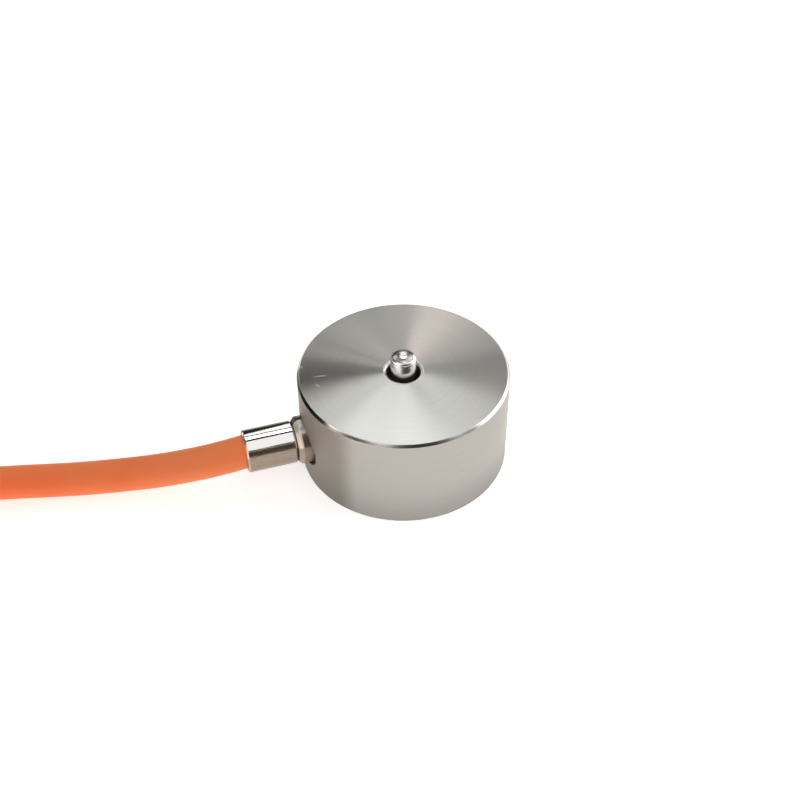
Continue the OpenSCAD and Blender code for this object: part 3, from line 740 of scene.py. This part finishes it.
def entry_collar():
    """Spigot in the housing's hole, collar on its seat and a stem with three barbs, round one bore. Each barb is
    a step up and a slope down."""
    bore_r, spigot_r, collar_r, collar_bevel, stem_r, barb_r = 0.8, 1.5, 2.3, 0.34, 1.15, 1.25
    inner_x, collar_x, barbs_x, outer_x = 8.9, 10.85, 11.3, 13.2
    barb_pitch, barb_l = 0.6333, 0.4433
    stem = [(stem_r, collar_x, 0)]
    for k in range(3):
        x = barbs_x + k * barb_pitch
        stem += [(stem_r, x, 0), (barb_r, x, 0), (stem_r, x + barb_l, 0)]
    profile = rounded([(bore_r, inner_x, 0.02), (spigot_r, inner_x, 0.05), (spigot_r, SEAT_X, 0.02),
                       (collar_r, SEAT_X, 0.05), (collar_r, collar_x - collar_bevel, 0.2),
                       (collar_r - collar_bevel, collar_x, 0.12)] + stem
                      + [(stem_r, outer_x, 0.02), (bore_r, outer_x, 0.02)], 5, True)
    return turned_piece("entry_collar", profile, 128, True, 40, **ON_ENTRY)


def crimp_tube():
    """Plain tube with a bevel at both ends."""
    inner_r, outer_r, bevel, near_x, far_x = 1.62, 2.05, 0.14, 10.95, 15.7
    profile = rounded([(inner_r, near_x, 0.03), (outer_r - bevel, near_x, 0.04), (outer_r, near_x + bevel, 0.06),
                       (outer_r, far_x - bevel, 0.06), (outer_r - bevel, far_x, 0.04), (inner_r, far_x, 0.03)],
                      5, True)
    return turned_piece("crimp_tube", profile, 128, True, 40, **ON_ENTRY)


stands_for(entry_collar(), "polished_steel", collar_nickel, "cable_entry")
stands_for(crimp_tube(), "polished_steel", sleeve_nickel, "crimp_sleeve")


# Finishes of the pieces that keep their CAD shape, by the start of their names

kept_finishes = {
    "bottom_cover": housing_steel,
    "gauge_film": plain_plastic("gauge_film", (0.55, 0.24, 0.03), 0.2),
    "gauge_grid": plain_metal("gauge_foil", (0.55, 0.50, 0.42), 0.25),
    "gauge_wires": plain_metal("lacquered_wire", (0.52, 0.20, 0.07), 0.3),
    "terminal_board": plain_plastic("solder_mask", (0.02, 0.16, 0.06), 0.3),
    "solder_pads": tinned,
    "trim_resistor": plain_plastic("chip_glaze", (0.02, 0.02, 0.024), 0.3),
    "clamped_braid": tinned,
    "entry_seal": plain_plastic("cast_compound", (0.06, 0.055, 0.048), 0.6),
    **{"core_" + name: material for name, material in insulation.items()},
}
for node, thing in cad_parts.items():
    for start, material in kept_finishes.items():
        if node.startswith(start):
            for place in thing.material_slots:
                place.material = material


# Studio: the camera's side in degrees, the dome's radius in metres, half the floor's width and its height in mm

CAMERA_TURN, DOME = 253.2, 0.8
FLOOR_HALF, FLOOR_Z = 1500, -0.02


def panel(name, lift, turn, wide, high, bright):
    """A flat soft light on a dome round the part. Lift is its height angle and turn the angle from the camera's
    side, both in degrees, and so are its width and height as the part sees them. Bright is the light's own
    brightness, where 1 looks white. A lift over 90 is on the far side."""
    turn, lift = math.radians(CAMERA_TURN + turn), math.radians(lift)
    level = Vector((math.cos(turn), math.sin(turn), 0))
    away = level * math.cos(lift) + Vector((0, 0, math.sin(lift)))
    across = Vector((-math.sin(turn), math.cos(turn), 0))
    lamp = bpy.data.lights.new(name, "AREA")
    lamp.shape = "RECTANGLE"
    lamp.size, lamp.size_y = [2 * DOME * math.tan(math.radians(a / 2)) for a in (wide, high)]
    lamp.energy = math.pi * lamp.size * lamp.size_y * bright
    shown = bpy.data.objects.new(name, lamp)
    bpy.context.collection.objects.link(shown)
    shown.location = away * DOME
    shown.rotation_euler = Matrix((across, away.cross(across), away)).transposed().to_euler()


def studio():
    """A light table under a row of soft boxes that runs from the camera's side over the part to the back, with
    lower ones at the sides."""
    def pale(base):
        here = place_of(base)
        return {"Base Color": blend(noise(here, 0.01, 2.0), (0.80, 0.79, 0.775), (0.82, 0.81, 0.80)),
                "Roughness": 0.55 + noise(here, 0.05) * 0.1}
    corners = [(x * FLOOR_HALF, y * FLOOR_HALF, FLOOR_Z) for x, y in ((-1, -1), (1, -1), (1, 1), (-1, 1))]
    floor = mesh_piece("floor", corners, [[0, 1, 2, 3]])
    wear(floor, finish("pale_floor", pale, specular_ior_level=0.2, emission_color=(1, 1, 1, 1),
                       emission_strength=0.65))
    world = bpy.data.worlds.new("studio")
    world.use_nodes = True
    world.node_tree.nodes["Background"].inputs[0].default_value = (0.03, 0.025, 0.018, 1)
    bpy.context.scene.world = world
    bpy.context.scene.view_settings.view_transform = "Standard"
    panel("over_front", 69, 32, 26, 49, 1.15)
    panel("over_back", 114, 0, 20, 16, 3.4)
    panel("over_far", 146, 0, 20, 34, 1.35)
    panel("right_low", 12, 112, 66, 24, 3.5)
    panel("right_middle", 38, 72, 44, 26, 1.1)
    panel("right_back", 35, 135, 18, 22, 1.05)
    panel("right_high", 57, 117, 40, 22, 0.7)
    panel("left_low", 12, 315, 22, 24, 5.8)
    panel("left_side", 12, 292, 22, 24, 2.3)
    panel("left_front", 44, 318, 50, 26, 1.3)
    panel("left_back", 38, 229, 30, 22, 0.9)
    panel("left_high", 57, 252, 24, 22, 0.1)


studio()
